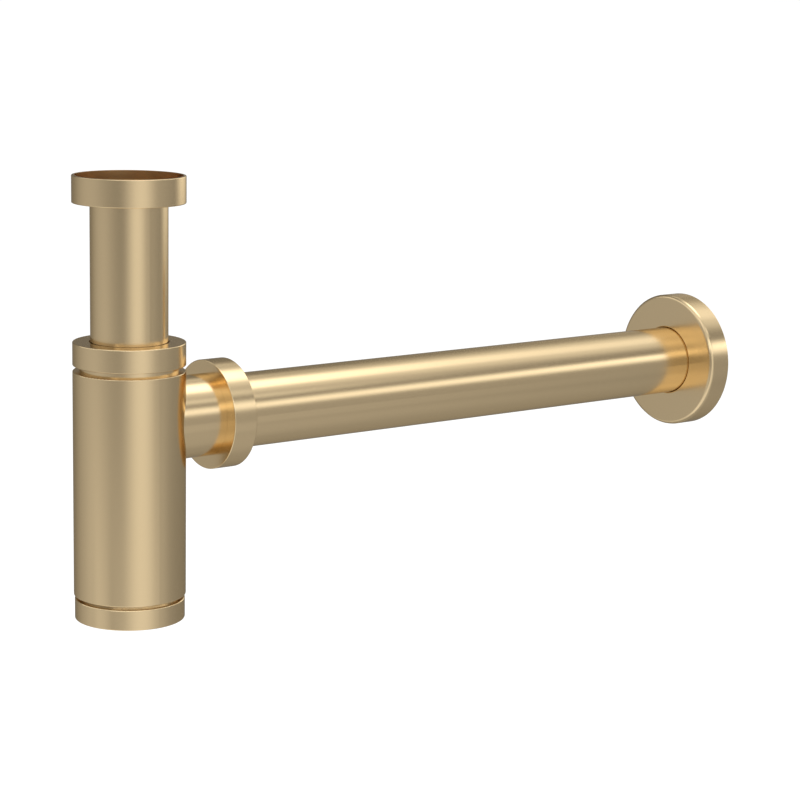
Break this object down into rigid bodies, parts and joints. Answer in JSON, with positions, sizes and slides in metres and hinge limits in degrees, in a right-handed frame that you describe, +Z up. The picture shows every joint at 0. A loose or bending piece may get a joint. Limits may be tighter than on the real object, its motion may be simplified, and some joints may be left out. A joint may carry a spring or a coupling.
{
  "type": "bottle trap",
  "caption": "Slim round basin bottle trap in brushed gold: screwed inlet and neck nuts, straight bottle with a screw-off cup, and a long side outlet pipe with a round wall flange.",
  "frame": {"origin": "on the inlet axis, on the seat inside the inlet nut: the washer face that the waste's tail presses on, where the nut's thread starts", "axes": "+Z up along the inlet axis, out of the inlet nut's mouth; +Y along the outlet towards the wall; +X to the right of someone facing the wall"},
  "size_m": [0.0638, 0.3503, 0.185],
  "materials": {
    "brushed_gold": "satin",
    "black_rubber": "matte",
    "white_plastic": "matte"
  },
  "bodies": {
    "inlet_nut": {"inlet_nut": "brushed_gold"},
    "inlet_washer": {"inlet_washer": "black_rubber"},
    "dip_tube": {"dip_tube": "brushed_gold"},
    "neck_nut": {"neck_nut": "brushed_gold"},
    "neck_friction_ring": {"neck_friction_ring": "white_plastic"},
    "neck_seal": {"neck_seal": "black_rubber"},
    "trap_body": {"trap_body": "brushed_gold"},
    "cup_seal": {"cup_seal": "black_rubber"},
    "bottom_cup": {"bottom_cup": "brushed_gold"},
    "outlet_nut": {"outlet_nut": "brushed_gold"},
    "outlet_friction_ring": {"outlet_friction_ring": "white_plastic"},
    "outlet_seal": {"outlet_seal": "black_rubber"},
    "outlet_pipe": {"outlet_pipe": "brushed_gold"},
    "flange_grip_ring": {"flange_grip_ring": "black_rubber"},
    "wall_flange": {"wall_flange": "brushed_gold"}
  },
  "joints": [
    {"name": "inlet_nut_slide", "type": "slide", "parent": "inlet_nut", "child": "inlet_washer", "axis": [0, 0, 1], "range_m": [0, 0.038]},
    {"name": "inlet_nut_spin", "type": "hinge", "parent": "inlet_washer", "child": "dip_tube", "pos_m": [0, 0, 0], "axis": [0, 0, 1], "continuous": true},
    {"name": "height_slide", "type": "slide", "parent": "dip_tube", "child": "neck_seal", "axis": [0, 0, 1], "range_m": [-0.045, 0.012]},
    {"name": "body_swivel", "type": "hinge", "parent": "neck_seal", "child": "trap_body", "pos_m": [0, 0, 0], "axis": [0, 0, 1], "continuous": true},
    {"name": "neck_nut_travel", "type": "slide", "parent": "trap_body", "child": "neck_friction_ring", "axis": [0, 0, 1], "range_m": [0, 0.00526]},
    {"name": "neck_nut_turn", "type": "hinge", "parent": "neck_friction_ring", "child": "neck_nut", "pos_m": [0, 0, 0], "axis": [0, 0, 1], "range_deg": [0, 1260]},
    {"name": "cup_travel", "type": "slide", "parent": "trap_body", "child": "cup_seal", "axis": [0, 0, -1], "range_m": [0, 0.00826]},
    {"name": "cup_turn", "type": "hinge", "parent": "cup_seal", "child": "bottom_cup", "pos_m": [0, 0, 0], "axis": [0, 0, -1], "range_deg": [0, 1980]},
    {"name": "outlet_nut_travel", "type": "slide", "parent": "trap_body", "child": "outlet_friction_ring", "axis": [0, 1, 0], "range_m": [0, 0.00601]},
    {"name": "outlet_nut_turn", "type": "hinge", "parent": "outlet_friction_ring", "child": "outlet_nut", "pos_m": [0, 0, -0.0952], "axis": [0, 1, 0], "range_deg": [0, 1440]},
    {"name": "outlet_pipe_turn", "type": "hinge", "parent": "trap_body", "child": "outlet_seal", "pos_m": [0, 0, -0.0952], "axis": [0, 1, 0], "continuous": true},
    {"name": "outlet_pipe_slide", "type": "slide", "parent": "outlet_seal", "child": "outlet_pipe", "axis": [0, 1, 0], "range_m": [-0.008, 0.01]},
    {"name": "flange_slide", "type": "slide", "parent": "outlet_pipe", "child": "flange_grip_ring", "axis": [0, 1, 0], "range_m": [-0.2, 0.008]},
    {"name": "flange_turn", "type": "hinge", "parent": "flange_grip_ring", "child": "wall_flange", "pos_m": [0, 0, -0.0952], "axis": [0, 1, 0], "continuous": true}
  ],
  "couplings": [
    {"joint": "neck_nut_travel", "follows": "neck_nut_turn", "m_per_rad": 0.00023873},
    {"joint": "cup_travel", "follows": "cup_turn", "m_per_rad": 0.00023873},
    {"joint": "outlet_nut_travel", "follows": "outlet_nut_turn", "m_per_rad": 0.00023873}
  ]
}
